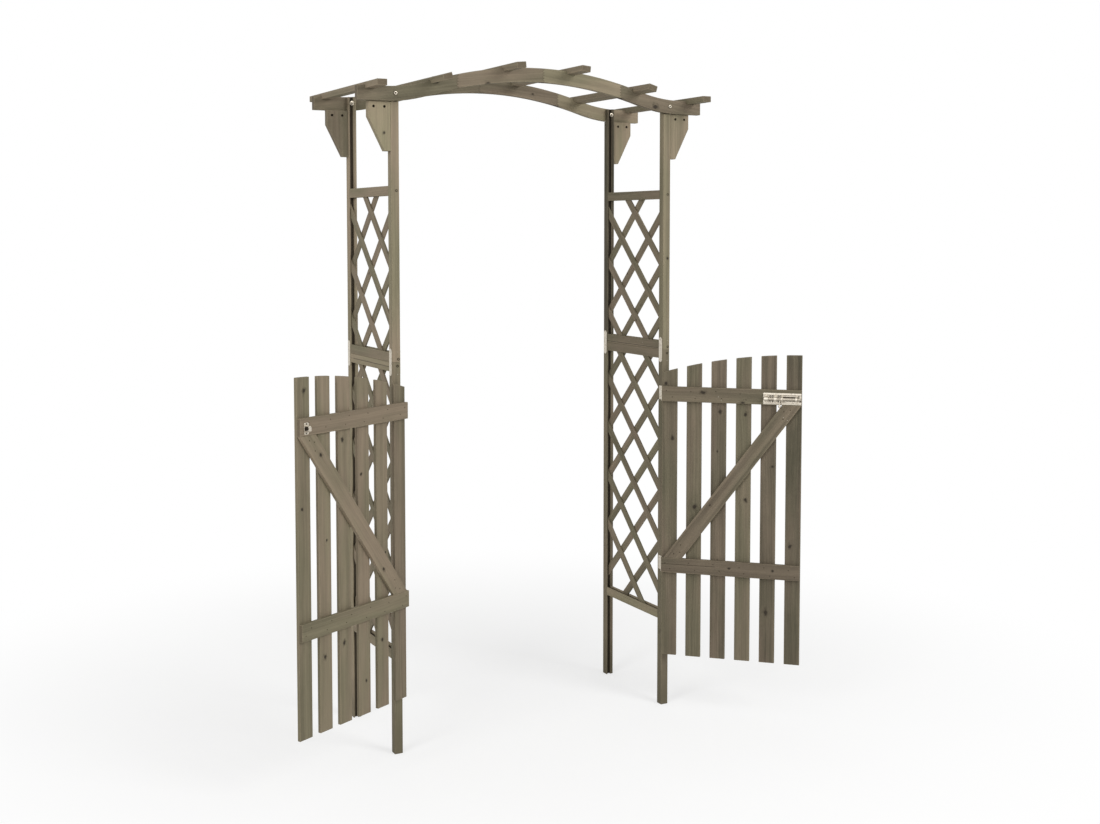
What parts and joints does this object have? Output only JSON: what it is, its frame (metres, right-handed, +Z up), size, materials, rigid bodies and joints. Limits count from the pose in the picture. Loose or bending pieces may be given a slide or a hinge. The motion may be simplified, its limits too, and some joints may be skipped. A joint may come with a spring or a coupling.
{
  "type": "pergola with gate",
  "caption": "Wooden garden arch: trellis side towers carry curved beams and cross battens over a walkway that hinged picket gates with a sliding bolt close.",
  "frame": {"origin": "on the ground, in the middle of the walkway and of the towers' depth", "axes": "+Z up; +X to the right as seen from the gate side; +Y from the gate side to the back"},
  "size_m": [1.6019, 0.8211, 2.0313],
  "materials": {
    "stained_wood": "matt grey-brown stain",
    "trellis_wood": "matt grey-brown stain",
    "zinc": "bright zinc plate"
  },
  "bodies": {
    "frame": {"left_front_lower_post": "stained_wood", "left_front_upper_post": "stained_wood", "left_back_lower_post": "stained_wood", "left_back_upper_post": "stained_wood", "right_front_lower_post": "stained_wood", "right_front_upper_post": "stained_wood", "right_back_lower_post": "stained_wood", "right_back_upper_post": "stained_wood", "left_lower_rails": "stained_wood", "left_upper_rails": "stained_wood", "right_lower_rails": "stained_wood", "right_upper_rails": "stained_wood", "left_lower_trellis": "trellis_wood", "left_upper_trellis": "trellis_wood", "right_lower_trellis": "trellis_wood", "right_upper_trellis": "trellis_wood", "front_beam": "stained_wood", "back_beam": "stained_wood", "purlin_1": "stained_wood", "purlin_2": "stained_wood", "purlin_3": "stained_wood", "purlin_4": "stained_wood", "purlin_5": "stained_wood", "purlin_6": "stained_wood", "left_front_bracket": "stained_wood", "left_back_bracket": "stained_wood", "right_front_bracket": "stained_wood", "right_back_bracket": "stained_wood", "left_joining_plates": "zinc", "right_joining_plates": "zinc", "left_post_hinges": "zinc", "right_post_hinges": "zinc"},
    "left_gate": {"left_gate_pickets": "stained_wood", "left_gate_top_rail": "stained_wood", "left_gate_lower_rail": "stained_wood", "left_gate_brace": "stained_wood", "left_gate_hinges": "zinc", "latch_keeper": "zinc"},
    "right_gate": {"right_gate_pickets": "stained_wood", "right_gate_top_rail": "stained_wood", "right_gate_lower_rail": "stained_wood", "right_gate_brace": "stained_wood", "right_gate_hinges": "zinc", "latch_case": "zinc"},
    "bolt_rod": {"latch_rod": "zinc"}
  },
  "joints": [
    {"name": "left_gate_swing", "type": "hinge", "parent": "frame", "child": "left_gate", "pos_m": [-0.447, -0.191, 1.02], "axis": [0, 0, -1], "range_deg": [-152, 23]},
    {"name": "right_gate_swing", "type": "hinge", "parent": "frame", "child": "right_gate", "pos_m": [0.447, -0.191, 1.02], "axis": [0, 0, 1], "range_deg": [-136, 39]},
    {"name": "bolt_slide", "type": "slide", "parent": "right_gate", "child": "bolt_rod", "axis": [0.7193, -0.6947, 0], "range_m": [0, 0.036]}
  ]
}
